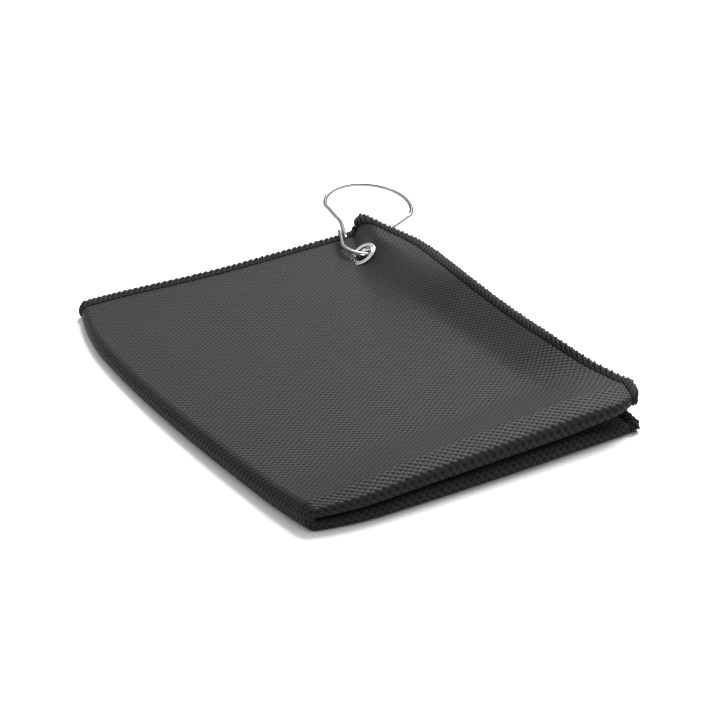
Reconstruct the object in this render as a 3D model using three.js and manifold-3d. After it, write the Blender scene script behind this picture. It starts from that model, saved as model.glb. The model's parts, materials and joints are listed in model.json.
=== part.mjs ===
// Golf towel, folded in quarters, with the chromed wire ring that hangs it from a golf bag.
// Units are millimetres and +Z is up. The origin is on the ground, under the centre of the folded towel.
// +X runs along the short side and +Y along the long side, towards the corner that carries the eyelet.
import * as THREE from "three";
import { mergeVertices } from "three/addons/utils/BufferGeometryUtils.js";
import Module from "manifold-3d";

const wasm = await Module();
wasm.setup();

// ---- Driving dimensions ----
const TOWEL_WIDTH = 300; // the cloth laid flat, along X
const TOWEL_LENGTH = 400; // the cloth laid flat, along Y
const CLOTH_THICKNESS = 0.9;
const LAYER_GAP = 0.5; // least air between two layers of cloth
const SEAM_WIDTH = 5.6; // overlocked thread band along each edge
const SEAM_THICKNESS = 1.1;
const SEAM_GAP = 0.4; // between the cloth and the band sewn to it

// Height of the folded stack at its four corners, and what the folds add.
const HEIGHT_LEFT = 6.6;
const HEIGHT_BACK = 7.2;
const HEIGHT_FRONT = 9.5;
const HEIGHT_RIGHT = 13.7;
const FOLD_PUFF = 1.8; // extra height along the front fold
const FOLD_PUFF_REACH = 26; // how far back from the front fold that height fades out
const FRONT_BEND = 3; // cloth taken up by each quarter turn of the front fold
const SIDE_BEND = 5; // and by each quarter turn of the side fold

// Outline of the folded towel. Its rolled side is at -X, its front fold at -Y, and its cut edges lie
// along the other two sides, so the open side is at +X and the open end at +Y.
const SIDE_BOW = 7; // how far the rolled side bows outwards
const SIDE_BOW_SKEW = 0.76; // under 1, the widest place is nearer the open end
const SIDE_END_DRAW = 5.5; // how far the rolled side is drawn in at the open end
const SIDE_END_REACH = 45;
const NOSE_BOW = 2.2; // how far the front fold bows outwards, at the lower fold
const NOSE_BOW_UPPER = 0.5; // the upper fold's share of that
const NOSE_BOW_SKEW = 1.4; // over 1, the widest place is nearer the open side
const END_DIP = 4.2; // how far the open end is drawn in, past the rolled side's corner
const END_DIP_START = 9; // the draw builds up between these distances from the rolled side
const END_DIP_REACH = 78;
const OPEN_FLARE = 1.2; // how far the upper fold leans out at the front of the open side
const OPEN_DRAW = 3.3; // how far the lower fold is drawn in there
const OPEN_REACH = 55;
const PINCH_RADIUS = 1.5; // the front folds close up to this radius at the open side
const PINCH_WIDTH = 36;
const PINCH_LENGTH = 40;
const TIP_DRAW_X = 3.6; // how far the upper fold's front tip is drawn in
const TIP_DRAW_Y = 4.2;
const TIP_DRAW_REACH = 16;
const CORNER_ROUNDING_X = 2; // how far the twice-folded front corner is drawn in
const CORNER_ROUNDING_Y = 5;
const CORNER_ROUNDING_REACH = 34;

// The top layer's back corner, which the ring holds up off the layers below.
const CORNER_LIFT = 8;
const TIP_RAISE = 0.64; // how much higher than that its tip is
const LIFT_RUN = 112; // the lift builds up over this length in front of the eyelet
const CORNER_RAMP = 16; // width of the slope up to the lifted corner, at the eyelet
const RAMP_LEAN_BEHIND = 0.8; // the slope's foot moves this much outwards for each mm behind the eyelet
const RAMP_LEAN_BEFORE = 0.4; // and this much inwards for each mm before it
const RAMP_NARROWING = 0.25; // the slope narrows by this much for each mm behind the eyelet
const RAMP_WIDENING = 0.5; // and widens by this much for each mm before it
const CORNER_PULL_X = 9.2; // the lifted corner is drawn in by this much
const CORNER_PULL_Y = -0.5; // and pushed out by this much
const PULL_WIDTH = 30;
const PULL_LENGTH = 50;
const PULL_OVERRUN = 8; // the pull would reach its full amount this far past the open end

const EYELET_SIDE_INSET = 22.2; // eyelet centre from the cloth's cut edges
const EYELET_END_INSET = 28;
const EYELET_BORE_RADIUS = 4.3;
const EYELET_WALL = 0.4;
const FLANGE_RADIUS = 6.3;
const FLANGE_HEIGHT = 1.1;
const WASHER_THICKNESS = 0.5;
const FIT_GAP = 0.3; // clearance between pieces that touch
const CUT_HEADROOM = 4; // how far above the flange the cloth is kept clear of the eyelet

const WIRE_RADIUS = 0.75;
const RING_RADIUS = 19.3; // centreline of the big round end
const NECK_START = 5; // where the round end stops, along the ring's axis from its centre
const NECK_END = 15; // where the two legs turn parallel
const NECK_HALF_WIDTH = 12.3;
const NECK_BEND = 1.25; // half the length of the bend there
const NECK_EASE = 0.8; // how far that bend's ends are from its middle, across the ring
const SHOULDER_RUN = 1.2; // the round end eases into the neck over this length
const SHOULDER_DROP = 1.9;
const SHOULDER_TURN = 4; // degrees
const LOOP_RADIUS = 9.7; // centreline of the small end that goes through the eyelet
const LOOP_CENTRE = 32.8; // from the round end's centre
const LEG_SPREAD = 0.15; // how much wider than the small end the legs are half way along
const CLASP_START = 24.5; // the two wire ends lie side by side between these
const CLASP_END = 31;
const CLASP_CLEARANCE = 0.35; // between the two ends
const CLASP_FLARE = 1.7; // how far the outer end's tip leans out
const CLASP_LEAN = 0.2; // and how far its root does
const LOOP_START = -65; // degrees; where the small end's bend begins, at the clasp
const WIRE_FROM_EYELET = new THREE.Vector3(-0.2, 1.3, 0.4); // where the small end passes through the eyelet
const RING_HEADING = -125.1; // degrees in plan, from the round end to the eyelet
const RING_PITCH = -3.2; // degrees; the eyelet end is lower
const RING_ROLL = -6; // degrees; the gate side is higher

const chrome = (colour) => new THREE.MeshStandardMaterial({ color: colour, roughness: 0.12, metalness: 1 });
const fabric = (colour) => new THREE.MeshStandardMaterial({ color: colour, roughness: 0.9, metalness: 0 });

const towel = new THREE.Group();

function addMesh(name, geometry, material) {
  const mesh = new THREE.Mesh(geometry, material);
  mesh.name = name;
  towel.add(mesh);
  return mesh;
}

// ---- Booleans ----
function toSolid(geometry) {
  const plain = geometry.clone();
  plain.deleteAttribute("normal");
  plain.deleteAttribute("uv");
  const merged = mergeVertices(plain, 1e-4);
  return new wasm.Manifold(
    new wasm.Mesh({
      numProp: 3,
      vertProperties: merged.attributes.position.array,
      triVerts: new Uint32Array(merged.index.array),
    }),
  );
}

function toGeometry(solid) {
  const { vertProperties, triVerts } = solid.getMesh();
  const geometry = new THREE.BufferGeometry();
  geometry.setAttribute("position", new THREE.BufferAttribute(vertProperties, 3));
  geometry.setIndex(new THREE.BufferAttribute(triVerts, 1));
  geometry.computeVertexNormals();
  return geometry;
}

// ---- How the flat cloth folds ----
// A point of the flat cloth is (s, t): s along its width and t along its length, both from the centre.
// The front fold puts t > 0 inside t < 0. The side fold then puts s < 0 on top of s > 0, so the layers
// from the top are (s<0, t<0), (s<0, t>0), (s>0, t>0) and (s>0, t<0).
const HALF_WIDTH = TOWEL_WIDTH / 2;
const HALF_LENGTH = TOWEL_LENGTH / 2;
const { lerp, smoothstep, degToRad } = THREE.MathUtils;

const sideX = -HALF_WIDTH / 2; // the side fold's crease
const openX = HALF_WIDTH / 2;
const frontY = -HALF_LENGTH / 2; // the front fold's crease
const endY = HALF_LENGTH / 2;
const eyeletX = openX - EYELET_SIDE_INSET;
const eyeletY = endY - EYELET_END_INSET;

function stackHeight(x, y) {
  const across = (x - sideX) / HALF_WIDTH;
  const front = lerp(HEIGHT_FRONT, HEIGHT_RIGHT, across);
  const back = lerp(HEIGHT_LEFT, HEIGHT_BACK, across);
  const puff = FOLD_PUFF * (1 - smoothstep(y, frontY, frontY + FOLD_PUFF_REACH));
  return lerp(front, back, smoothstep(y, frontY, endY)) + puff;
}

// Radii of the two folds. Away from the front fold the four layers are evenly spaced; at it they close up
// into two rounded noses that touch, and at the open side those noses are pinched.
function foldRadii(x, y) {
  const height = stackHeight(x, y);
  const nose = 1 - smoothstep(y, frontY, frontY + FOLD_PUFF_REACH);
  const open = smoothstep(x, openX - PINCH_WIDTH, openX);
  const pinch = open * (1 - smoothstep(y, frontY, frontY + PINCH_LENGTH));
  const spacing = (height - CLOTH_THICKNESS) / 3;
  const round = lerp(spacing / 2, height / 4 - (CLOTH_THICKNESS + LAYER_GAP) / 2, nose);
  const inner = lerp(round, PINCH_RADIUS, pinch);
  const outer = (height - CLOTH_THICKNESS) / 2 - inner;
  return { height, inner, outer };
}

// Runs round a quarter turn of the given radius, then straight on: how far out the cloth is from the
// crease, and the angle it has turned through.
function roundBend(distance, radius, bendLength) {
  const angle = (Math.PI / 2) * Math.min(1, distance / bendLength);
  return { out: radius * (1 - Math.cos(angle)) + Math.max(0, distance - bendLength), angle };
}

const fading = (distance, reach) => Math.max(0, 1 - distance / reach);

// How the outline departs from a plain rectangle, for a point (s, t) of the flat
// cloth that lies at y.
function outlineShift(s, t, y) {
  const fromSide = Math.min(1, Math.abs(s) / HALF_WIDTH);
  const fromFront = Math.min(1, Math.abs(t) / HALF_LENGTH);
  const upper = s < 0;

  const bow = Math.sin(Math.PI * Math.pow(1 - fromFront, SIDE_BOW_SKEW)) * Math.pow(1 - fromSide, 2);
  const sideEnd = Math.pow(fading(Math.hypot(s, HALF_LENGTH - Math.abs(t)), SIDE_END_REACH), 2);
  const rounding = Math.pow(fading(Math.hypot(s, t), CORNER_ROUNDING_REACH), 2);
  const front = 1 - smoothstep(y, frontY, frontY + OPEN_REACH);
  const open = (upper ? OPEN_FLARE : -OPEN_DRAW) * front * Math.pow(fromSide, 2);
  const tipDistance = Math.hypot(HALF_WIDTH - Math.abs(s), t);
  const tip = upper ? Math.pow(fading(tipDistance, TIP_DRAW_REACH), 1.5) : 0;

  const dip = smoothstep(Math.abs(s), END_DIP_START, END_DIP_REACH);
  const noseShape = Math.max(0, Math.sin(Math.PI * Math.pow(fromSide, NOSE_BOW_SKEW)));
  const nose = Math.pow(noseShape, 0.7) * Math.pow(1 - fromFront, 4) * (upper ? NOSE_BOW_UPPER : 1);
  const drawn = open + SIDE_END_DRAW * sideEnd + CORNER_ROUNDING_X * rounding;
  const dipped = END_DIP * dip * Math.pow(fromFront, 3) + NOSE_BOW * nose;
  return {
    x: drawn - SIDE_BOW * bow - TIP_DRAW_X * tip,
    y: CORNER_ROUNDING_Y * rounding + TIP_DRAW_Y * tip - dipped,
  };
}

// How the top layer's back corner is lifted and drawn in.
function cornerShift(x, y) {
  const behind = Math.max(0, y - eyeletY);
  const before = Math.max(0, eyeletY - y);
  const foot = eyeletX - CORNER_RAMP / 2 + RAMP_LEAN_BEHIND * behind - RAMP_LEAN_BEFORE * before;
  const ramp = CORNER_RAMP - RAMP_NARROWING * behind + RAMP_WIDENING * before;
  const lift = CORNER_LIFT + TIP_RAISE * smoothstep(y, eyeletY, endY);
  const along = smoothstep(y, endY - PULL_LENGTH, endY + PULL_OVERRUN);
  const pull = smoothstep(x, openX - PULL_WIDTH, openX) * along;
  return {
    x: -CORNER_PULL_X * pull,
    y: -CORNER_PULL_Y * pull,
    z: lift * smoothstep(x, foot, foot + ramp) * smoothstep(y, eyeletY - LIFT_RUN, eyeletY),
  };
}

function foldedMiddle(s, t) {
  const { height, inner, outer } = foldRadii(sideX + Math.abs(s), frontY + Math.abs(t));
  const side = roundBend(Math.abs(s), outer, SIDE_BEND);
  const front = roundBend(Math.abs(t), inner, FRONT_BEND);
  const offset = (t < 0 ? 1 : -1) * inner * Math.sin(front.angle);
  const up = s < 0 ? 1 : -1;
  const x = sideX + side.out - offset * Math.cos(side.angle);
  const y = frontY + front.out;
  const z = height / 2 + up * (outer + offset) * Math.sin(side.angle);
  const outline = outlineShift(s, t, y);
  const corner = s < 0 && t < 0 ? cornerShift(x, y) : { x: 0, y: 0, z: 0 };
  return new THREE.Vector3(x + outline.x + corner.x, y + outline.y + corner.y, z + corner.z);
}

// The cloth's outer face points up on the top layer and down on the bottom one.
function foldedNormal(s, t) {
  const step = 0.05;
  const alongS = foldedMiddle(s + step, t).sub(foldedMiddle(s - step, t));
  const alongT = foldedMiddle(s, t + step).sub(foldedMiddle(s, t - step));
  return alongS.cross(alongT).normalize();
}

function onTowel(s, t, outwards) {
  return foldedMiddle(s, t).addScaledVector(foldedNormal(s, t), outwards);
}

// Spacing of the mesh along the cloth: fine at the crease and at the cut edges, coarse between them.
const SPACING_SWING = 0.8;
function stationAt(place, half) {
  const share = place / half;
  return half * (share - (SPACING_SWING * Math.sin(2 * Math.PI * share)) / (2 * Math.PI));
}

// Bends a flat box whose vertices hold (s, t, outwards) round the folds.
function foldGeometry(geometry, outwardsShift) {
  const position = geometry.attributes.position;
  for (let i = 0; i < position.count; i++) {
    const s = position.getX(i);
    const t = position.getY(i);
    const point = onTowel(s, t, position.getZ(i) + outwardsShift(t));
    position.setXYZ(i, point.x, point.y, point.z);
  }
  geometry.computeVertexNormals();
  return geometry;
}

function spreadStations(geometry, halfS, halfT) {
  const position = geometry.attributes.position;
  for (let i = 0; i < position.count; i++) {
    if (halfS) position.setX(i, stationAt(position.getX(i), halfS));
    if (halfT) position.setY(i, stationAt(position.getY(i), halfT));
  }
  return geometry;
}

// ---- Cloth: one sheet, folded twice, with the eyelet's hole in the top layer only ----
const SEGMENTS_S = 32;
const SEGMENTS_T = 40;
const clothHalfS = HALF_WIDTH - SEAM_WIDTH - SEAM_GAP;
const clothHalfT = HALF_LENGTH - SEAM_WIDTH - SEAM_GAP;
const flatCloth = new THREE.BoxGeometry(
  2 * clothHalfS, 2 * clothHalfT, CLOTH_THICKNESS, SEGMENTS_S, SEGMENTS_T, 1,
);
const foldedCloth = foldGeometry(spreadStations(flatCloth, clothHalfS, clothHalfT), () => 0);

// ---- Eyelet: a rolled flange and barrel above, a flat washer below, clamped through the cloth ----
const eyeletS = EYELET_SIDE_INSET - HALF_WIDTH;
const eyeletT = EYELET_END_INSET - HALF_LENGTH;
const eyeletNormal = foldedNormal(eyeletS, eyeletT);
const eyeletFrame = new THREE.Matrix4().compose(
  foldedMiddle(eyeletS, eyeletT),
  new THREE.Quaternion().setFromUnitVectors(new THREE.Vector3(0, 0, 1), eyeletNormal),
  new THREE.Vector3(1, 1, 1),
);
const ROUND_SEGMENTS = 40;

// A lathe turned about Z, from a closed list of [radius, height] pairs that run anticlockwise.
function turned(profile) {
  const points = profile.map(([radius, height]) => new THREE.Vector2(radius, height));
  const geometry = new THREE.LatheGeometry([...points, points[0].clone()], ROUND_SEGMENTS);
  return geometry.rotateX(Math.PI / 2);
}

const clothTop = CLOTH_THICKNESS / 2;
const flangeBottom = clothTop + FIT_GAP;
const barrelRadius = EYELET_BORE_RADIUS + EYELET_WALL;
const washerTop = -clothTop - FIT_GAP;
const washerBottom = washerTop - WASHER_THICKNESS;
const curlTop = washerBottom - FIT_GAP;
const curlBottom = curlTop - EYELET_WALL;
const washerInner = barrelRadius + FIT_GAP;
const curlRadius = (washerInner + FLANGE_RADIUS) / 2;
const crest = flangeBottom + FLANGE_HEIGHT;
const rimMiddle = (barrelRadius + FLANGE_RADIUS) / 2;
const eyeletProfile = [
  [EYELET_BORE_RADIUS, curlBottom + EYELET_WALL],
  [EYELET_BORE_RADIUS + EYELET_WALL, curlBottom],
  [curlRadius, curlBottom],
  [curlRadius, curlTop],
  [barrelRadius, curlTop],
  [barrelRadius, flangeBottom],
  [FLANGE_RADIUS - EYELET_WALL / 2, flangeBottom],
  [FLANGE_RADIUS, flangeBottom + FLANGE_HEIGHT * 0.4],
  [FLANGE_RADIUS - EYELET_WALL, crest - FLANGE_HEIGHT * 0.1],
  [rimMiddle + EYELET_WALL / 2, crest],
  [rimMiddle - EYELET_WALL / 2, crest - FLANGE_HEIGHT * 0.2],
  [EYELET_BORE_RADIUS + EYELET_WALL / 2, crest - FLANGE_HEIGHT * 0.1],
  [EYELET_BORE_RADIUS, crest - FLANGE_HEIGHT * 0.35],
];
const washerProfile = [
  [washerInner, washerBottom],
  [FLANGE_RADIUS, washerBottom],
  [FLANGE_RADIUS, washerTop],
  [washerInner, washerTop],
];
addMesh("eyelet", turned(eyeletProfile), chrome(0xd9dbde)).applyMatrix4(eyeletFrame);
addMesh("eyelet_washer", turned(washerProfile), chrome(0xc4c6c9)).applyMatrix4(eyeletFrame);

// What the clamped cloth gives way to: the barrel, and the space that the flange and washer take up.
const cutRadius = FLANGE_RADIUS + FIT_GAP;
const cutProfile = [
  [0, curlBottom - FIT_GAP],
  [cutRadius, curlBottom - FIT_GAP],
  [cutRadius, -clothTop],
  [washerInner, -clothTop],
  [washerInner, clothTop],
  [cutRadius, clothTop],
  [cutRadius, crest + CUT_HEADROOM],
  [0, crest + CUT_HEADROOM],
];
const eyeletCut = turned(cutProfile).applyMatrix4(eyeletFrame);
const cloth = toSolid(foldedCloth).subtract(toSolid(eyeletCut));
addMesh("towel_cloth", toGeometry(cloth), fabric(0x3a3b3c));

// ---- Overlocked seam bands: one run of thread along each cut edge, folded with the cloth ----
// On the outer layers a band stays flush with the cloth's outer face, so the towel lies flat.
const flushShift = -(SEAM_THICKNESS - CLOTH_THICKNESS) / 2;
const seamShift = (t) => flushShift * (1 - smoothstep(t, -2 * FRONT_BEND, 0));
const seamMaterial = fabric(0x1c1c1d);

function addEndSeam(name, side) {
  const band = new THREE.BoxGeometry(TOWEL_WIDTH, SEAM_WIDTH, SEAM_THICKNESS, SEGMENTS_S, 1, 1);
  spreadStations(band, HALF_WIDTH, 0).translate(0, side * (HALF_LENGTH - SEAM_WIDTH / 2), 0);
  addMesh(name, foldGeometry(band, seamShift), seamMaterial);
}

function addSideSeam(name, side) {
  const band = new THREE.BoxGeometry(SEAM_WIDTH, 2 * clothHalfT, SEAM_THICKNESS, 1, SEGMENTS_T, 1);
  spreadStations(band, 0, clothHalfT).translate(side * (HALF_WIDTH - SEAM_WIDTH / 2), 0, 0);
  addMesh(name, foldGeometry(band, seamShift), seamMaterial);
}

addEndSeam("seam_outer_end", -1);
addEndSeam("seam_inner_end", 1);
addSideSeam("seam_upper_side", -1);
addSideSeam("seam_lower_side", 1);

// ---- Wire ring: one springy wire whose two ends meet in a clasp beside the eyelet ----
// In the ring's own plane X runs from the round end to the eyelet, and the gate is on the -Y side.
const ring = new THREE.Group();
ring.rotation.set(degToRad(RING_ROLL), degToRad(-RING_PITCH), degToRad(RING_HEADING), "ZYX");
const loopTip = new THREE.Vector3(LOOP_CENTRE + LOOP_RADIUS, 0, 0).applyEuler(ring.rotation);
ring.position.copy(foldedMiddle(eyeletS, eyeletT)).add(WIRE_FROM_EYELET).sub(loopTip);
towel.add(ring);

function arcPoints(centreX, radius, fromDegrees, toDegrees, count) {
  return Array.from({ length: count + 1 }, (_, i) => {
    const angle = degToRad(lerp(fromDegrees, toDegrees, i / count));
    return new THREE.Vector3(centreX + radius * Math.cos(angle), radius * Math.sin(angle), 0);
  });
}

const WIRE_SIDES = 8;
function addWire(name, points, steps) {
  const section = new THREE.Shape().absarc(0, 0, WIRE_RADIUS, 0, 2 * Math.PI);
  const extrudePath = new THREE.CatmullRomCurve3(points, false, "centripetal");
  const options = { extrudePath, steps, curveSegments: WIRE_SIDES / 2, bevelEnabled: false };
  const mesh = new THREE.Mesh(new THREE.ExtrudeGeometry(section, options), chrome(0xe2e4e6));
  mesh.name = name;
  ring.add(mesh);
}

const neckAngle = THREE.MathUtils.radToDeg(Math.acos(NECK_START / RING_RADIUS));
const halfCut = THREE.MathUtils.radToDeg(FIT_GAP / 2 / RING_RADIUS);
const claspSpacing = 2 * WIRE_RADIUS + CLASP_CLEARANCE;
const legX = (NECK_END + LOOP_CENTRE) / 2;
const legY = LOOP_RADIUS + LEG_SPREAD;

// One side's shoulder and neck, from the round end to the leg. side is 1 or -1.
const neckPoints = (side) => [
  new THREE.Vector3(NECK_START + SHOULDER_RUN, side * (RING_RADIUS - SHOULDER_DROP), 0),
  new THREE.Vector3(NECK_END - NECK_BEND, side * (NECK_HALF_WIDTH + NECK_EASE), 0),
  new THREE.Vector3(NECK_END + NECK_BEND, side * (NECK_HALF_WIDTH - NECK_EASE), 0),
];

// From the clasp round the small end, up the fixed leg and half way round the round end.
addWire("ring_wire", [
  new THREE.Vector3(CLASP_START, -LOOP_RADIUS - CLASP_FLARE, 0),
  new THREE.Vector3(CLASP_END, -LOOP_RADIUS - CLASP_LEAN, 0),
  ...arcPoints(LOOP_CENTRE, LOOP_RADIUS, LOOP_START, 90, 10),
  new THREE.Vector3(legX, legY, 0),
  ...neckPoints(1).reverse(),
  ...arcPoints(0, RING_RADIUS, neckAngle + SHOULDER_TURN, 180 - halfCut, 18),
], 60);

// The gate: the other half of the round end and the free leg, whose tip rests inside the clasp.
addWire("ring_gate", [
  ...arcPoints(0, RING_RADIUS, -180 + halfCut, -neckAngle - SHOULDER_TURN, 18),
  ...neckPoints(-1),
  new THREE.Vector3(legX, CLASP_CLEARANCE - legY, 0),
  new THREE.Vector3(CLASP_END, claspSpacing - LOOP_RADIUS, 0),
], 32);

export default towel;
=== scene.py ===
import json
import math

import bpy
import numpy as np
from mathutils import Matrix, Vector


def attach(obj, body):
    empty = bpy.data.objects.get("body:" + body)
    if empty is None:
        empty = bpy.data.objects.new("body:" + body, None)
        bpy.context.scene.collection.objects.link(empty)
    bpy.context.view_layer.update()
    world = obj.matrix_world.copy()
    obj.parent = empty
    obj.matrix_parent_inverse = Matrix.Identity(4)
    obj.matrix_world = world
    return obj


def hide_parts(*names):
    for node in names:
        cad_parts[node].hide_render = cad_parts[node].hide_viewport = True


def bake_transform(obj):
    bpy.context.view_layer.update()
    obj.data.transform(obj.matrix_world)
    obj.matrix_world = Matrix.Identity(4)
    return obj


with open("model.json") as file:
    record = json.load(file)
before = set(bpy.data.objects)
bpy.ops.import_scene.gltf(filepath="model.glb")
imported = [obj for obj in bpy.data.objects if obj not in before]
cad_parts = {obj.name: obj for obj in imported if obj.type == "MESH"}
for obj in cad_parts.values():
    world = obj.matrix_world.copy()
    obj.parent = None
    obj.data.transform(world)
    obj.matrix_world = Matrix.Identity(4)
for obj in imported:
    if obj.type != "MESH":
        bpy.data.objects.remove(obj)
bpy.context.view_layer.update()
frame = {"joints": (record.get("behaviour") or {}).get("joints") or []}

# ---- Camera ----
# A long lens a metre away, looking down over the twice-folded front corner to the corner with the ring.
AZIMUTH, ELEVATION = math.radians(-31.58), math.radians(29.44)
DISTANCE = 1.060
LENS_LENGTH, FILM_WIDTH = 130, 36  # mm
TARGET = Vector((0.00877, 0.00446, 0.0))

camera = bpy.data.objects.new("camera", bpy.data.cameras.new("camera"))
camera.data.lens = LENS_LENGTH
camera.data.sensor_width = FILM_WIDTH
towards_camera = Vector((
    math.sin(AZIMUTH) * math.cos(ELEVATION),
    -math.cos(AZIMUTH) * math.cos(ELEVATION),
    math.sin(ELEVATION),
))
camera.location = TARGET + DISTANCE * towards_camera
camera.rotation_euler = towards_camera.to_track_quat("Z", "Y").to_euler()
bpy.context.scene.collection.objects.link(camera)
bpy.context.scene.camera = camera

# ---- Towel cloth ----
# One sheet of mesh-knit microfibre, 300 by 400 mm, folded end to end and then side over side.
# Its top layer's back corner is punched for the eyelet, and the ring holds that corner up a little.
# A point of the flat cloth is (s, t), from its middle: t < 0 is the outer half, s < 0 the upper half.
TOWEL_WIDTH, TOWEL_LENGTH = 0.300, 0.400
CLOTH_THICKNESS, LAYER_GAP = 0.0009, 0.0005
FRONT_BEND, SIDE_BEND = 0.003, 0.005
HEIGHT_LEFT, HEIGHT_BACK = 0.0066, 0.0072
HEIGHT_FRONT, HEIGHT_RIGHT = 0.0095, 0.0137
NOSE_REACH = 0.026
FOLD_SWELL, FOLD_SWELL_PEAK, FOLD_SWELL_REACH = 0.0034, 0.010, 0.034
SWELL_SIDE_START, SWELL_SIDE_FULL = -0.1, 0.40  # shares of the width, from the rolled side
SWELL_OPEN_DROP, SWELL_OPEN_START = 0.45, 0.8
CREASE_HEIGHT, CREASE_WIDTH, CREASE_LEAN = 0.0006, 0.0024, 0.0045
PINCH_RADIUS, PINCH_WIDTH, PINCH_LENGTH = 0.0015, 0.036, 0.040

# The rolled side bows out and is drawn in at the open end, and the front fold bows out a little.
SIDE_BOW, SIDE_BOW_SKEW = 0.0070, 0.76
SIDE_END_DRAW, SIDE_END_REACH = 0.0055, 0.045
NOSE_BOW, NOSE_BOW_UPPER, NOSE_BOW_SKEW = 0.0022, 0.5, 1.4
END_DIP, END_DIP_START, END_DIP_REACH = 0.0042, 0.009, 0.078
OPEN_FLARE, OPEN_DRAW, OPEN_REACH = 0.0012, 0.0033, 0.055
TIP_DRAW_X, TIP_DRAW_Y, TIP_DRAW_REACH = 0.0036, 0.0042, 0.016
CORNER_ROUNDING_X, CORNER_ROUNDING_Y, CORNER_ROUNDING_REACH = 0.0020, 0.0050, 0.034

# The lifted corner: the slope up to it leans outwards behind the eyelet and widens in front of it.
CORNER_LIFT, TIP_RAISE, LIFT_RUN = 0.0080, 0.00064, 0.112
CORNER_RAMP, RAMP_NARROWING, RAMP_WIDENING = 0.016, 0.25, 0.5
RAMP_LEAN_BEHIND, RAMP_LEAN_BEFORE = 0.8, 0.4
CORNER_PULL_X, CORNER_PULL_Y = 0.0092, -0.0005
PULL_WIDTH, PULL_LENGTH, PULL_OVERRUN = 0.030, 0.050, 0.008
EYELET_SIDE_INSET, EYELET_END_INSET = 0.0222, 0.028

# The top layer's open edge also rises, between the front fold and the lifted corner.
EDGE_LIFT, EDGE_LIFT_REACH, EDGE_LIFT_PULL, EDGE_LIFT_SOFTNESS = 0.0085, 0.030, 0.95, 0.02
EDGE_LIFT_START, EDGE_LIFT_FULL = 0.008, 0.055  # from the front fold
EDGE_LIFT_FADING, EDGE_LIFT_GONE = 0.065, 0.010  # before the eyelet

HEM_WIDTH = 0.0046
HEM_CLOTH_THICKNESS = 0.0005

half_width, half_length = TOWEL_WIDTH / 2, TOWEL_LENGTH / 2
side_x, open_x = -half_width / 2, half_width / 2
front_y, end_y = -half_length / 2, half_length / 2
eyelet_x, eyelet_y = open_x - EYELET_SIDE_INSET, end_y - EYELET_END_INSET
eyelet_s, eyelet_t = EYELET_SIDE_INSET - half_width, EYELET_END_INSET - half_length


def lerp(start, end, share):
    return start + (end - start) * share


def smoothstep(value, low, high):
    share = np.clip((value - low) / (high - low), 0, 1)
    return share * share * (3 - 2 * share)


def fading(distance, reach, power=2):
    return np.maximum(0, 1 - distance / reach) ** power


def fold_radii(x, y):
    """The stack's height and the radii of its two folds, for the flat stack's point (x, y)."""
    across = (x - side_x) / half_width
    nose = 1 - smoothstep(y, front_y, front_y + NOSE_REACH)
    swell = np.sqrt(1 - np.clip(1 - (y - front_y) / FOLD_SWELL_PEAK, 0, 1) ** 2)
    swell = swell * (1 - smoothstep(y, front_y + FOLD_SWELL_PEAK, front_y + FOLD_SWELL_REACH))
    swell = swell * smoothstep(across, SWELL_SIDE_START, SWELL_SIDE_FULL)
    swell = swell * (1 - SWELL_OPEN_DROP * smoothstep(across, SWELL_OPEN_START, 1))
    crease_y = front_y + FOLD_SWELL_PEAK + CREASE_LEAN * (across - 0.5)
    swell = swell + CREASE_HEIGHT / FOLD_SWELL * np.exp(-(((y - crease_y) / CREASE_WIDTH) ** 2))
    front_height = lerp(HEIGHT_FRONT, HEIGHT_RIGHT, across)
    back_height = lerp(HEIGHT_LEFT, HEIGHT_BACK, across)
    height = lerp(front_height, back_height, smoothstep(y, front_y, end_y)) + FOLD_SWELL * swell
    pinch = smoothstep(x, open_x - PINCH_WIDTH, open_x)
    pinch = pinch * (1 - smoothstep(y, front_y, front_y + PINCH_LENGTH))
    even = (height - CLOTH_THICKNESS) / 6
    inner = lerp(lerp(even, height / 4 - (CLOTH_THICKNESS + LAYER_GAP) / 2, nose), PINCH_RADIUS, pinch)
    return height, inner, (height - CLOTH_THICKNESS) / 2 - inner


def round_bend(distance, radius, bend_length):
    angle = np.minimum(1, distance / bend_length) * np.pi / 2
    return radius * (1 - np.cos(angle)) + np.maximum(0, distance - bend_length), angle


def outline_shift(s, t, y):
    """How far the outline departs from a plain rectangle, along x and along y."""
    from_side = np.minimum(1, np.abs(s) / half_width)
    from_front = np.minimum(1, np.abs(t) / half_length)
    upper = s < 0
    bow = SIDE_BOW * np.sin(np.pi * (1 - from_front) ** SIDE_BOW_SKEW) * (1 - from_side) ** 2
    side_end = SIDE_END_DRAW * fading(np.hypot(s, half_length - np.abs(t)), SIDE_END_REACH)
    rounding = fading(np.hypot(s, t), CORNER_ROUNDING_REACH)
    front = 1 - smoothstep(y, front_y, front_y + OPEN_REACH)
    leaning = np.where(upper, OPEN_FLARE, -OPEN_DRAW) * front * from_side**2
    tip = np.where(upper, fading(np.hypot(half_width - np.abs(s), t), TIP_DRAW_REACH, 1.5), 0)
    dip = END_DIP * smoothstep(np.abs(s), END_DIP_START, END_DIP_REACH) * from_front**3
    nose_shape = np.maximum(0, np.sin(np.pi * from_side**NOSE_BOW_SKEW)) ** 0.7 * (1 - from_front) ** 4
    nose = NOSE_BOW * nose_shape * np.where(upper, NOSE_BOW_UPPER, 1)
    return (
        leaning + side_end + CORNER_ROUNDING_X * rounding - bow - TIP_DRAW_X * tip,
        CORNER_ROUNDING_Y * rounding + TIP_DRAW_Y * tip - dip - nose,
    )


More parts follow.
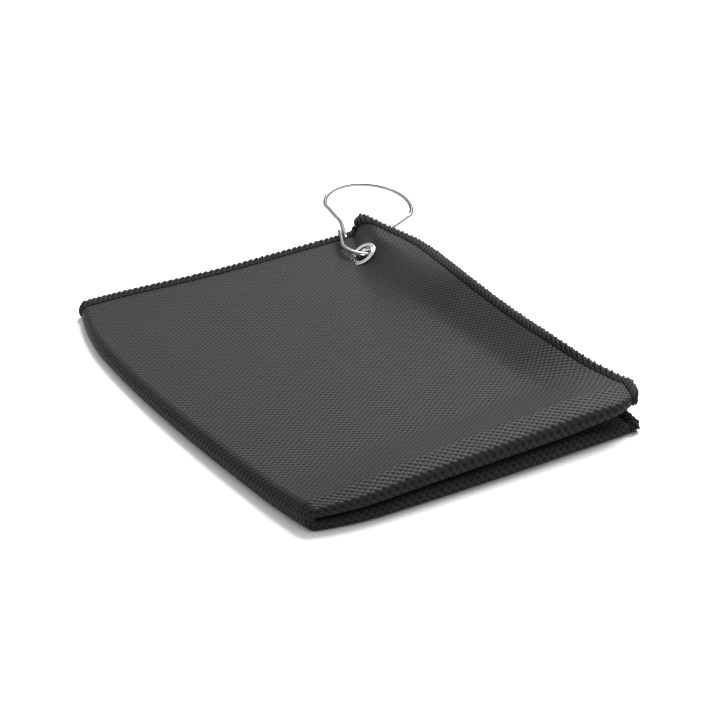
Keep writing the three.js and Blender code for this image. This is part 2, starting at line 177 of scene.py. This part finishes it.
def corner_shift(x, y):
    """How the top layer's back corner and open edge are lifted and drawn in."""
    behind, before = np.maximum(0, y - eyelet_y), np.maximum(0, eyelet_y - y)
    foot = eyelet_x - CORNER_RAMP / 2 + RAMP_LEAN_BEHIND * behind - RAMP_LEAN_BEFORE * before
    ramp = CORNER_RAMP - RAMP_NARROWING * behind + RAMP_WIDENING * before
    lift = CORNER_LIFT + TIP_RAISE * smoothstep(y, eyelet_y, end_y)
    pull = smoothstep(x, open_x - PULL_WIDTH, open_x)
    pull = pull * smoothstep(y, end_y - PULL_LENGTH, end_y + PULL_OVERRUN)
    lift = lift * smoothstep(x, foot, foot + ramp) * smoothstep(y, eyelet_y - LIFT_RUN, eyelet_y)
    rise = (x - open_x + EDGE_LIFT_REACH) / EDGE_LIFT_REACH
    edge = EDGE_LIFT * (np.sqrt(rise**2 + EDGE_LIFT_SOFTNESS) + rise) / 2
    edge = edge * smoothstep(y, front_y + EDGE_LIFT_START, front_y + EDGE_LIFT_FULL)
    edge = edge * (1 - smoothstep(y, eyelet_y - EDGE_LIFT_FADING, eyelet_y - EDGE_LIFT_GONE))
    return np.stack([
        -CORNER_PULL_X * pull - EDGE_LIFT_PULL * edge, -CORNER_PULL_Y * pull, lift + edge,
    ], axis=-1)


def folded_middle(s, t):
    s, t = np.broadcast_arrays(np.asarray(s, float), np.asarray(t, float))
    height, inner, outer = fold_radii(side_x + np.abs(s), front_y + np.abs(t))
    side_out, side_angle = round_bend(np.abs(s), outer, SIDE_BEND)
    front_out, front_angle = round_bend(np.abs(t), inner, FRONT_BEND)
    offset = np.where(t < 0, 1, -1) * inner * np.sin(front_angle)
    up = np.where(s < 0, 1, -1)
    x = side_x + side_out - offset * np.cos(side_angle)
    y = front_y + front_out
    z = height / 2 + up * (outer + offset) * np.sin(side_angle)
    shift_x, shift_y = outline_shift(s, t, y)
    lifted = ((s < 0) & (t < 0))[..., None]
    return np.stack([x + shift_x, y + shift_y, z], axis=-1) + np.where(lifted, corner_shift(x, y), 0)


def folded_normal(s, t, step=0.00005):
    along_s = folded_middle(s + step, t) - folded_middle(s - step, t)
    along_t = folded_middle(s, t + step) - folded_middle(s, t - step)
    normal = np.cross(along_s, along_t)
    return normal / np.linalg.norm(normal, axis=-1)[..., None]


def on_towel(s, t, outwards):
    outwards = np.broadcast_to(outwards, np.broadcast(s, t).shape)
    return folded_middle(s, t) + folded_normal(s, t) * outwards[..., None]


def add_piece(name, points, faces, material):
    mesh = bpy.data.meshes.new(name)
    mesh.from_pydata(points.tolist(), [], faces)
    mesh.validate()
    mesh.shade_smooth()
    mesh.materials.append(material)
    piece = bpy.data.objects.new(name, mesh)
    bpy.context.scene.collection.objects.link(piece)
    return piece


def give_coordinates(piece, name, values):
    """Stores a coordinate that the piece's material reads, such as a place on the flat cloth, in mm."""
    attribute = piece.data.attributes.new(name, "FLOAT_VECTOR", "POINT")
    attribute.data.foreach_set("vector", np.asarray(values, np.float32).ravel())


class Field:
    """A value that changes over a surface. Sums and products of fields add Math nodes."""

    def __init__(self, finish, socket):
        self.finish, self.socket = finish, socket

    def maths(self, operation, *values):
        return self.finish.node("ShaderNodeMath", {"operation": operation}, dict(enumerate(values)))

    def __add__(self, other):
        return self.maths("ADD", self, other)

    def __sub__(self, other):
        return self.maths("SUBTRACT", self, other)

    def __rsub__(self, other):
        return self.maths("SUBTRACT", other, self)

    def __mul__(self, other):
        return self.maths("MULTIPLY", self, other)

    __radd__ = __add__
    __rmul__ = __mul__

    def cosine(self):
        return self.maths("COSINE", self)

    def step(self, low, high):
        """0 below low and 1 above high, smooth between them."""
        settings = {"interpolation_type": "SMOOTHSTEP"}
        return self.finish.node("ShaderNodeMapRange", settings, {0: self, 1: low, 2: high})


class Finish:
    """A material whose patterns are written as sums on fields."""

    def __init__(self, name):
        self.material = bpy.data.materials.new(name)
        self.material.use_nodes = True
        self.tree = self.material.node_tree
        self.shader = self.tree.nodes["Principled BSDF"]

    def node(self, kind, settings, inputs, output=0):
        node = self.tree.nodes.new(kind)
        for key, value in settings.items():
            setattr(node, key, value)
        for key, value in inputs.items():
            self.feed(node.inputs[key], value)
        return Field(self, node.outputs[output])

    def feed(self, socket, value):
        if isinstance(value, Field):
            self.tree.links.new(value.socket, socket)
        else:
            socket.default_value = value

    def shade(self, **inputs):
        for key, value in inputs.items():
            self.feed(self.shader.inputs[key.replace("_", " ")], value)

    def coordinate(self, name):
        vector = self.node("ShaderNodeAttribute", {"attribute_name": name}, {}, "Vector")
        split = self.node("ShaderNodeSeparateXYZ", {}, {0: vector})
        return vector, [Field(self, socket) for socket in split.socket.node.outputs]

    def mix(self, share, first, second):
        return self.node("ShaderNodeMix", {"data_type": "RGBA"}, {0: share, 6: first, 7: second}, 2)

    def noise(self, vector, scale, detail=2):
        return self.node("ShaderNodeTexNoise", {}, {"Vector": vector, "Scale": scale, "Detail": detail})

    def bump(self, height, depth):
        return self.node("ShaderNodeBump", {}, {"Height": height, "Distance": depth, "Strength": 1.0})


def grey(value):
    return (value, value, value * 1.02, 1)


def stations(half, fine, coarse, reach, extra=()):
    """Places from -half to half, fine near the crease and near each extra place, coarse elsewhere."""
    places, place = [-half], -half
    while place < half:
        nearest = min([abs(place)] + [abs(place - other) for other in extra])
        place += lerp(fine, coarse, float(smoothstep(nearest, reach, 3 * reach)))
        places.append(min(place, half))
    return np.array(places)


STITCH_REACH = 0.0005  # cloth's cut edge from the outer loops of the overlock thread
EYELET_HOLE = 0.0049
THINNING_REACH = 0.002  # where the cloth thins on its way into the hem
MESH_FINE, MESH_COARSE, MESH_REACH = 0.0006, 0.0021, 0.007

sheet_s = stations(half_width - STITCH_REACH, MESH_FINE, MESH_COARSE, MESH_REACH, (eyelet_s,))
sheet_t = stations(half_length - STITCH_REACH, MESH_FINE, MESH_COARSE, MESH_REACH, (eyelet_t,))
grid_s, grid_t = (grid.ravel() for grid in np.meshgrid(sheet_s, sheet_t, indexing="ij"))
rows, columns = len(sheet_s), len(sheet_t)
corners = np.arange(rows * columns).reshape(rows, columns)
quads = np.stack([
    corners[:-1, :-1].ravel(), corners[1:, :-1].ravel(), corners[1:, 1:].ravel(), corners[:-1, 1:].ravel(),
], axis=1)
from_eyelet = np.hypot(grid_s - eyelet_s, grid_t - eyelet_t)
quads = quads[from_eyelet[quads].min(axis=1) > EYELET_HOLE - MESH_FINE]

directed = np.concatenate([quads[:, [i, (i + 1) % 4]] for i in range(4)])
edges, edge_uses = np.unique(np.sort(directed, axis=1), axis=0, return_counts=True)
rim = np.unique(edges[edge_uses == 1])
hole_rim = rim[from_eyelet[rim] < 2 * EYELET_HOLE]
outwards_share = EYELET_HOLE / from_eyelet[hole_rim]
grid_s[hole_rim] = eyelet_s + (grid_s[hole_rim] - eyelet_s) * outwards_share
grid_t[hole_rim] = eyelet_t + (grid_t[hole_rim] - eyelet_t) * outwards_share

to_edge = np.minimum(half_width - np.abs(grid_s), half_length - np.abs(grid_t))
full_cloth = smoothstep(to_edge, HEM_WIDTH, HEM_WIDTH + THINNING_REACH)
half_thick = lerp(HEM_CLOTH_THICKNESS, CLOTH_THICKNESS, full_cloth) / 2
upper = on_towel(grid_s, grid_t, half_thick)
lower = on_towel(grid_s, grid_t, -half_thick)
count = len(grid_s)
keys = np.sort(directed, axis=1) @ np.array([count, 1])
_, first_use, uses = np.unique(keys, return_index=True, return_counts=True)
border = directed[first_use[uses == 1]]
walls = np.stack([border[:, 1], border[:, 0], border[:, 0] + count, border[:, 1] + count], axis=1)
sheet_faces = np.concatenate([quads, quads[:, ::-1] + count, walls]).tolist()

# Staggered rows of small slots: their spacing across a row, and the spacing of the rows.
SLOT_SPACING, ROW_SPACING = 3.22, 1.087  # mm
TWILL_SHARE = 0.6  # over a half, the slots run together along one diagonal
# The slot grey is painted shade: the open slots are painted darker than the yarn, for the shade inside
# them.
YARN_GREY, SLOT_SHADE_GREY = 0.0095, 0.003

mesh_knit = Finish("mesh_knit")
flat, (flat_s, flat_t, _) = mesh_knit.coordinate("flat_mm")
waver = mesh_knit.noise(flat, 0.16) - 0.5
across_rows = 2 * math.pi / SLOT_SPACING * (flat_s + 0.9 * waver)
along_rows = math.pi / ROW_SPACING * (flat_t + 0.5 * waver)
slots = TWILL_SHARE * (across_rows + along_rows).cosine()
slots = slots + (1 - TWILL_SHARE) * (across_rows - along_rows).cosine()
slot_depth_and_shade = slots.step(-0.1, 0.75)
fibres = mesh_knit.noise(flat, 2.6, 3)
shade = mesh_knit.noise(flat, 0.035)
yarn = mesh_knit.mix(shade.step(0.3, 0.7), grey(YARN_GREY * 0.94), grey(YARN_GREY * 1.06))
# The slots' darker colour is painted shade; their roughness and bump belong to the knit itself.
mesh_knit.shade(
    Base_Color=mesh_knit.mix(slot_depth_and_shade, yarn, grey(SLOT_SHADE_GREY)),
    Roughness=0.50 + 0.3 * slot_depth_and_shade,
    Sheen_Weight=0.02,
    Sheen_Roughness=0.5,
    Specular_IOR_Level=0.12,
    Normal=mesh_knit.bump(0.35 * fibres - slots * 0.26, 0.00035),
)

cloth = add_piece("towel_sheet", np.concatenate([upper, lower]), sheet_faces, mesh_knit.material)
flat_points = np.stack([grid_s, grid_t, half_thick], axis=1) * 1000
give_coordinates(cloth, "flat_mm", np.concatenate([flat_points, flat_points * (1, 1, -1)]))
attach(cloth, "towel")
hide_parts("towel_cloth")

# ---- Overlocked hems ----
# Black textured thread sewn over each cut edge by a three-thread overlock machine: slanted strands on
# both faces that loop round the edge, and a needle line that holds them.
STITCH_PITCH = 0.00272
STRAND_SLANT = 0.0038  # how far along the hem a strand moves as it crosses it
STRAND_RADIUS, THIN_STRAND_RADIUS = 0.00058, 0.00028
HEM_DOME = 0.0005  # how much thicker the thread lies along the middle of the hem
LOOP_SQUARENESS = 0.45  # under 1, a strand lies flat on the face and turns sharply at the edge
WOBBLE_ALONG, WOBBLE_INWARDS = 0.00010, 0.00012
STRAND_STANDOFF, THIN_STRAND_DOME = 0.0003, -0.3
BOLD_EDGE, THIN_EDGE = 0.0003, 0.0004  # where the two kinds of strand turn, inside the cut edge
NEEDLE_RADIUS, NEEDLE_SIDES, NEEDLE_TONE = 0.00028, 5, 0.3
NEEDLE_INSET, NEEDLE_WAVE = 0.0002, 0.00012
NEEDLE_STANDOFF, NEEDLE_LIFT = 0.00035, 0.0002
# The lightest of these greys is a painted sheen on the crests of the twisted ply.
THREAD_DARK, THREAD_MIDDLE, THREAD_PAINTED_SHEEN = 0.003, 0.007, 0.011
POINTS_PER_LOOP, STRAND_SIDES = 16, 6
HEM_SINK = 0.00135  # how far the bottom layer's hems are pressed up into the stack

thread = Finish("overlock_thread")
along_thread, (thread_mm, thread_turn, thread_tone) = thread.coordinate("thread_mm")
ply = (2 * math.pi * (thread_mm * 1.1 + thread_turn)).cosine()
lint = thread.noise(along_thread, 3.0, 3)
thread_colour = thread.mix(thread_tone, grey(THREAD_DARK), grey(THREAD_MIDDLE))
thread.shade(
    # lighter along the ply's crests, broken up by lint noise: painted sheen
    Base_Color=thread.mix((ply + lint).step(0.2, 1.4), thread_colour, grey(THREAD_PAINTED_SHEEN)),
    Roughness=0.66 + 0.25 * lint,
    Sheen_Weight=0.03,
    Sheen_Roughness=0.5,
    Specular_IOR_Level=0.25,
    Normal=thread.bump(ply * 0.5 + 0.6 * lint, 0.00012),
)


def sweep(path, radius, sides):
    """Vertices and faces of a round strand along a path, its ends closed. radius may vary along it."""
    ahead = np.gradient(path, axis=0)
    ahead /= np.linalg.norm(ahead, axis=1)[:, None]
    across = np.empty_like(path)
    side = np.cross(ahead[0], (0.3, 0.2, 1.0))
    for i, direction in enumerate(ahead):
        side = side - direction * (side @ direction)
        side = side / np.linalg.norm(side)
        across[i] = side
    over = np.cross(ahead, across)
    turn = np.linspace(0, 2 * np.pi, sides, endpoint=False)
    radius = np.broadcast_to(radius, len(path))[:, None, None]
    round_it = np.cos(turn)[None, :, None] * across[:, None] + np.sin(turn)[None, :, None] * over[:, None]
    points = (path[:, None] + radius * round_it).reshape(-1, 3)
    ring = np.arange(sides)
    start = np.arange(len(path) - 1)[:, None] * sides
    near, near_next = start + ring, start + (ring + 1) % sides
    faces = np.stack([near, near_next, near_next + sides, near + sides], axis=-1).reshape(-1, 4).tolist()
    faces.append(ring[::-1].tolist())
    faces.append((ring + (len(path) - 1) * sides).tolist())
    return points, faces


def join_strands(strands):
    points, faces, total = [], [], 0
    for strand_points, strand_faces in strands:
        points.append(strand_points)
        faces += [[corner + total for corner in face] for face in strand_faces]
        total += len(strand_points)
    return np.concatenate(points), faces


def hem_sink(s, t):
    return HEM_SINK * smoothstep(s, 0, SIDE_BEND) * smoothstep(-t, 0, FRONT_BEND)


def hem(name, node, edge_point, length, seed):
    """Overlocks one edge. edge_point(along, inwards) gives the flat cloth's (s, t) there."""
    random = np.random.default_rng(seed)
    loops = int(2 * length / STITCH_PITCH)
    strands, details = [], []

    def add(along, inwards, height, radius, sides, tone):
        s, t = edge_point(along, inwards)
        path = on_towel(s, t, height - hem_sink(s, t))
        strands.append(sweep(path, radius, sides))
        run = np.concatenate([[0], np.cumsum(np.linalg.norm(np.diff(path, axis=0), axis=1))]) * 1000
        place = np.repeat(run, sides)
        turn = np.tile(np.arange(sides) / sides, len(path))
        details.append(np.stack([place, turn, np.repeat(np.broadcast_to(tone, len(path)), sides)], axis=1))

    turns = np.linspace(0, loops, loops * POINTS_PER_LOOP + 1)
    wobble = np.interp(turns, np.arange(loops + 1), random.normal(0, WOBBLE_ALONG, loops + 1))
    reach = np.interp(turns, np.arange(loops + 1), random.normal(0, WOBBLE_INWARDS, loops + 1))
    bold = 0.5 + 0.5 * np.cos(np.pi * (turns - 0.25))
    angle = 2 * np.pi * turns
    radius = lerp(THIN_STRAND_RADIUS, STRAND_RADIUS, bold)
    outer_edge = lerp(THIN_EDGE, BOLD_EDGE, bold) + reach
    inwards = outer_edge + (HEM_WIDTH - outer_edge) * (0.5 - 0.5 * np.cos(angle))
    flatness = np.abs(np.sin(angle)) ** LOOP_SQUARENESS * np.sign(np.sin(angle))
    dome = lerp(THIN_STRAND_DOME, 1, bold) * HEM_DOME * np.sin(np.pi * np.clip(inwards / HEM_WIDTH, 0, 1))
    height = (HEM_CLOTH_THICKNESS / 2 + STRAND_STANDOFF + dome) * flatness
    slant = STRAND_SLANT * (smoothstep(inwards, 0, HEM_WIDTH) - 0.5)
    along = turns * STITCH_PITCH / 2 - length / 2 + wobble + slant
    along = np.clip(along, -length / 2, length / 2)
    add(along, inwards, height, radius, STRAND_SIDES, bold)

    for face in (1, -1):
        place = np.linspace(0, loops / 2, loops * 5 + 1)
        along = place * STITCH_PITCH - length / 2
        inwards = HEM_WIDTH - NEEDLE_INSET + NEEDLE_WAVE * np.sin(2 * np.pi * place)
        standoff = HEM_CLOTH_THICKNESS / 2 + NEEDLE_STANDOFF + NEEDLE_LIFT * np.cos(2 * np.pi * place)
        add(along, inwards, face * standoff, NEEDLE_RADIUS, NEEDLE_SIDES, NEEDLE_TONE)

    points, faces = join_strands(strands)
    piece = add_piece(name, points, faces, thread.material)
    give_coordinates(piece, "thread_mm", np.concatenate(details))
    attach(piece, "towel")
    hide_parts(node)
    return piece


hems = [
    hem(
        "hem_outer_end", "seam_outer_end",
        lambda along, inwards: (along, inwards - half_length), TOWEL_WIDTH, seed=1,
    ),
    hem(
        "hem_inner_end", "seam_inner_end",
        lambda along, inwards: (along, half_length - inwards), TOWEL_WIDTH, seed=2,
    ),
    hem(
        "hem_upper_side", "seam_upper_side",
        lambda along, inwards: (inwards - half_width, along), TOWEL_LENGTH, seed=3,
    ),
    hem(
        "hem_lower_side", "seam_lower_side",
        lambda along, inwards: (half_width - inwards, along), TOWEL_LENGTH, seed=4,
    ),
]

# ---- Eyelet ----
# Nickel-plated brass in two parts: a barrel with a rolled flange on the cloth's face, and a flat washer
# under it that the barrel's end is curled over.
BORE_RADIUS, BARREL_WALL = 0.0043, 0.0004
FLANGE_RADIUS, FLANGE_HEIGHT = 0.0063, 0.0011
ROLL_RADIUS, LIP_RADIUS, LIP_HEIGHT = 0.00055, 0.0003, 0.00075
DISH_RADIUS, CURL_RADIUS = 0.00055, 0.00055
CURL_DROP, CURL_TUCK_IN, CURL_TUCK_UP = 0.0003, 0.0008, 0.0002
FLANGE_SINK = 0.0001  # how far the flange's foot presses into the cloth's face
WASHER_THICKNESS, WASHER_GAP = 0.0005, 0.0002
LATHE_STEPS = 96

eyelet_up = Vector(folded_normal(eyelet_s, eyelet_t))
eyelet_turn = np.array(eyelet_up.to_track_quat("Z", "Y").to_matrix())
eyelet_centre = folded_middle(eyelet_s, eyelet_t)


def turned(profile):
    """Vertices and faces of a closed profile of (radius, height) turned about the eyelet's axis."""
    profile = np.array(profile)
    turn = np.linspace(0, 2 * np.pi, LATHE_STEPS, endpoint=False)[:, None]
    flat_ring = np.stack([
        profile[:, 0] * np.cos(turn), profile[:, 0] * np.sin(turn), profile[:, 1] + 0 * turn,
    ], axis=-1)
    points = eyelet_centre + flat_ring.reshape(-1, 3) @ eyelet_turn.T
    place = np.arange(len(profile))
    start = np.arange(LATHE_STEPS)[:, None] * len(profile)
    after = (start + len(profile)) % (LATHE_STEPS * len(profile))
    following = (place + 1) % len(profile)
    faces = np.stack([start + place, after + place, after + following, start + following], axis=-1)
    return points, faces.reshape(-1, 4).tolist()


def arc(centre_radius, centre_height, radius, start, end, steps=10):
    angle = np.radians(np.linspace(start, end, steps))
    return [(centre_radius + radius * math.cos(a), centre_height + radius * math.sin(a)) for a in angle]


def plated(name, colour, edge_grey, roughness):
    finish = Finish(name)
    place = finish.node("ShaderNodeTexCoord", {}, {}, "Object")
    scuffs = finish.noise(place, 900, 4)
    haze = finish.noise(place, 160)
    finish.shade(
        Base_Color=finish.mix(haze.step(0.35, 0.75), colour, tuple(0.9 * c for c in colour[:3]) + (1,)),
        Metallic=1.0,
        Specular_Tint=grey(edge_grey),
        Roughness=roughness + 0.06 * scuffs + 0.05 * haze,
        Normal=finish.bump(scuffs, 0.00001),
    )
    return finish.material


nickel = plated("nickel_plate", (0.72, 0.725, 0.735, 1), 0.25, 0.08)
face = CLOTH_THICKNESS / 2
roll_centre = FLANGE_RADIUS - ROLL_RADIUS
lip_centre = BORE_RADIUS + LIP_RADIUS
curl_height = -face - WASHER_THICKNESS - CURL_DROP
flange_profile = (
    arc(roll_centre, face + ROLL_RADIUS, ROLL_RADIUS, -90, 130)
    + arc((roll_centre + lip_centre) / 2, face + FLANGE_HEIGHT, DISH_RADIUS, 225, 300, 8)
    + arc(lip_centre, face + LIP_HEIGHT, LIP_RADIUS, 60, 180)
    + [(BORE_RADIUS, curl_height)]
    + arc(BORE_RADIUS + CURL_RADIUS, curl_height, CURL_RADIUS, 180, 350)
    + [(BORE_RADIUS + CURL_TUCK_IN, curl_height + CURL_TUCK_UP)]
    + [(BORE_RADIUS + BARREL_WALL, curl_height + CURL_DROP)]
    + [(BORE_RADIUS + BARREL_WALL, face - FLANGE_SINK), (roll_centre, face - FLANGE_SINK)]
)
eyelet = add_piece("eyelet_flange", *turned(flange_profile), nickel)
washer_inner = BORE_RADIUS + BARREL_WALL + WASHER_GAP
washer_profile = (
    [(washer_inner, -face - WASHER_THICKNESS)]
    + arc(FLANGE_RADIUS - WASHER_THICKNESS / 2, -face - WASHER_THICKNESS / 2, WASHER_THICKNESS / 2, -90, 90)
    + [(washer_inner, -face)]
)
washer = add_piece("eyelet_back_washer", *turned(washer_profile), nickel)
for piece, node in ((eyelet, "eyelet"), (washer, "eyelet_washer")):
    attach(piece, "towel")
    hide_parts(node)

# ---- Wire ring ----
# One piece of springy chromed wire: a big round end, two legs, and a small end through the eyelet. Its
# two tips meet in a clasp. Half of the round end and the free leg spring outwards as the gate.
# In the ring's own plane x runs from the round end's centre to the eyelet, and the gate is at y < 0.
WIRE_RADIUS = 0.00085
RING_RADIUS = 0.0193
NECK_START, NECK_END, NECK_HALF_WIDTH = 0.0050, 0.0150, 0.0123
NECK_BEND, NECK_EASE = 0.00125, 0.0008
LOOP_RADIUS, LOOP_CENTRE = 0.0097, 0.0328
CLASP_START, CLASP_END, CLASP_SPACING = 0.0245, 0.0310, 0.00185
CLASP_HOOK, CLASP_EASE = 1.9, 0.0002  # the fixed tip hooks round the gate's, in clasp spacings
LOOP_LEG_OUT, LOOP_LEG_EASE = 0.00015, 0.0003
LOOP_START = -65  # degrees
SHOULDER_ALONG, SHOULDER_IN, SHOULDER_ANGLE = 0.0012, 0.0019, 4  # where the round end turns into a leg
WIRE_SIDES = 24
TIP_ROUNDING = np.array([0.96, 0.75, 0.4])

joints = {joint["name"]: joint for joint in frame["joints"]}
loop_place = Vector(joints["ring_swivel"]["pos_m"])
gate_pivot = Vector(joints["gate_open"]["pos_m"])
ring_x = (loop_place - gate_pivot).normalized()
ring_z = Vector(joints["ring_swivel"]["axis"]).normalized()
ring_y = ring_z.cross(ring_x)
ring_centre = gate_pivot + RING_RADIUS * ring_x
ring_axes = np.array([ring_x, ring_y, ring_z])

chrome = plated("chromed_wire", (0.30, 0.304, 0.31, 1), 0.0, 0.14)


def bow(centre_x, radius, start, end, count=10):
    angle = np.radians(np.linspace(start, end, count + 1))
    return [(centre_x + radius * math.cos(a), radius * math.sin(a)) for a in angle]


def smooth_run(points, spacing=0.0004):
    """Evenly spaced points of a centripetal Catmull-Rom curve through the given ones."""
    points = np.array(points)
    padded = np.concatenate([[2 * points[0] - points[1]], points, [2 * points[-1] - points[-2]]])
    run = []
    for a, b, c, d in zip(padded, padded[1:], padded[2:], padded[3:]):
        ta = 0.0
        tb = ta + np.linalg.norm(b - a) ** 0.5
        tc = tb + np.linalg.norm(c - b) ** 0.5
        td = tc + np.linalg.norm(d - c) ** 0.5
        for t in np.linspace(tb, tc, 12, endpoint=False):
            ab = lerp(a, b, (t - ta) / (tb - ta))
            bc = lerp(b, c, (t - tb) / (tc - tb))
            cd = lerp(c, d, (t - tc) / (td - tc))
            before, after = lerp(ab, bc, (t - ta) / (tc - ta)), lerp(bc, cd, (t - tb) / (td - tb))
            run.append(lerp(before, after, (t - tb) / (tc - tb)))
    run = np.array(run + [points[-1]])
    length = np.concatenate([[0], np.cumsum(np.linalg.norm(np.diff(run, axis=0), axis=1))])
    places = np.linspace(0, length[-1], int(length[-1] / spacing) + 1)
    return np.stack([np.interp(places, length, run[:, i]) for i in range(2)], axis=1)


def wire(name, points, round_start, round_end):
    run = smooth_run(points)
    path = np.array(ring_centre) + np.column_stack([run, np.zeros(len(run))]) @ ring_axes
    radius = np.full(len(path), WIRE_RADIUS)
    taper = WIRE_RADIUS * np.sqrt(1 - TIP_ROUNDING**2)
    if round_start:
        radius[:3] = taper
    if round_end:
        radius[-3:] = taper[::-1]
    return add_piece(name, *sweep(path, radius, WIRE_SIDES), chrome)


neck_angle = math.degrees(math.acos(NECK_START / RING_RADIUS))
leg_x = (NECK_END + LOOP_CENTRE) / 2
loop_leg = LOOP_RADIUS + LOOP_LEG_OUT
clasp_inner = LOOP_RADIUS - CLASP_SPACING

fixed_wire = wire("ring_fixed_wire", [
    (CLASP_START, -clasp_inner - CLASP_HOOK * CLASP_SPACING),
    (CLASP_END, -LOOP_RADIUS - CLASP_EASE),
    *bow(LOOP_CENTRE, LOOP_RADIUS, LOOP_START, 90),
    (leg_x, loop_leg),
    (NECK_END + NECK_BEND, NECK_HALF_WIDTH - NECK_EASE),
    (NECK_END - NECK_BEND, NECK_HALF_WIDTH + NECK_EASE),
    (NECK_START + SHOULDER_ALONG, RING_RADIUS - SHOULDER_IN),
    *bow(0, RING_RADIUS, neck_angle + SHOULDER_ANGLE, 180, 18),
], True, False)
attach(fixed_wire, "ring")
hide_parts("ring_wire")

gate_wire = wire("ring_gate_wire", [
    *bow(0, RING_RADIUS, -180, -neck_angle - SHOULDER_ANGLE, 18),
    (NECK_START + SHOULDER_ALONG, -RING_RADIUS + SHOULDER_IN),
    (NECK_END - NECK_BEND, -NECK_HALF_WIDTH - NECK_EASE),
    (NECK_END + NECK_BEND, -NECK_HALF_WIDTH + NECK_EASE),
    (leg_x, -loop_leg + LOOP_LEG_EASE),
    (CLASP_END, -clasp_inner),
], False, True)
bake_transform(gate_wire)
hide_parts("ring_gate")

# ---- Floor and light ----
# A plain pale floor, one big soft light high up on the right and behind, a second, much weaker one lower
# down behind, and an even white surround that fills the shadows.
FLOOR_SIZE = 8.0
FLOOR_GREY = 0.80
SURROUND_STRENGTH = 0.85

pale = Finish("pale_floor")
pale.shade(Base_Color=(FLOOR_GREY, FLOOR_GREY, FLOOR_GREY, 1), Roughness=0.9, Specular_IOR_Level=0.1)
floor_corners = np.array([(-1, -1, 0), (1, -1, 0), (1, 1, 0), (-1, 1, 0)]) * FLOOR_SIZE / 2
floor = add_piece("floor", floor_corners, [[0, 1, 2, 3]], pale.material)


def soft_light(name, direction, distance, size, power):
    light = bpy.data.objects.new(name, bpy.data.lights.new(name, "AREA"))
    light.data.shape = "DISK"
    light.data.size = size
    light.data.energy = power
    towards_light = Vector(direction).normalized()
    light.location = distance * towards_light
    light.rotation_euler = towards_light.to_track_quat("Z", "Y").to_euler()
    bpy.context.scene.collection.objects.link(light)


soft_light("overhead_light", direction=(0.52, 0.32, 0.79), distance=2.0, size=1.3, power=78)
soft_light("back_light", direction=(0.62, 0.62, 0.44), distance=2.2, size=1.6, power=8)
world = bpy.data.worlds.new("surround")
world.use_nodes = True
world.node_tree.nodes["Background"].inputs["Color"].default_value = (1, 1, 1, 1)
world.node_tree.nodes["Background"].inputs["Strength"].default_value = SURROUND_STRENGTH
bpy.context.scene.world = world
bpy.context.scene.view_settings.view_transform = "Standard"
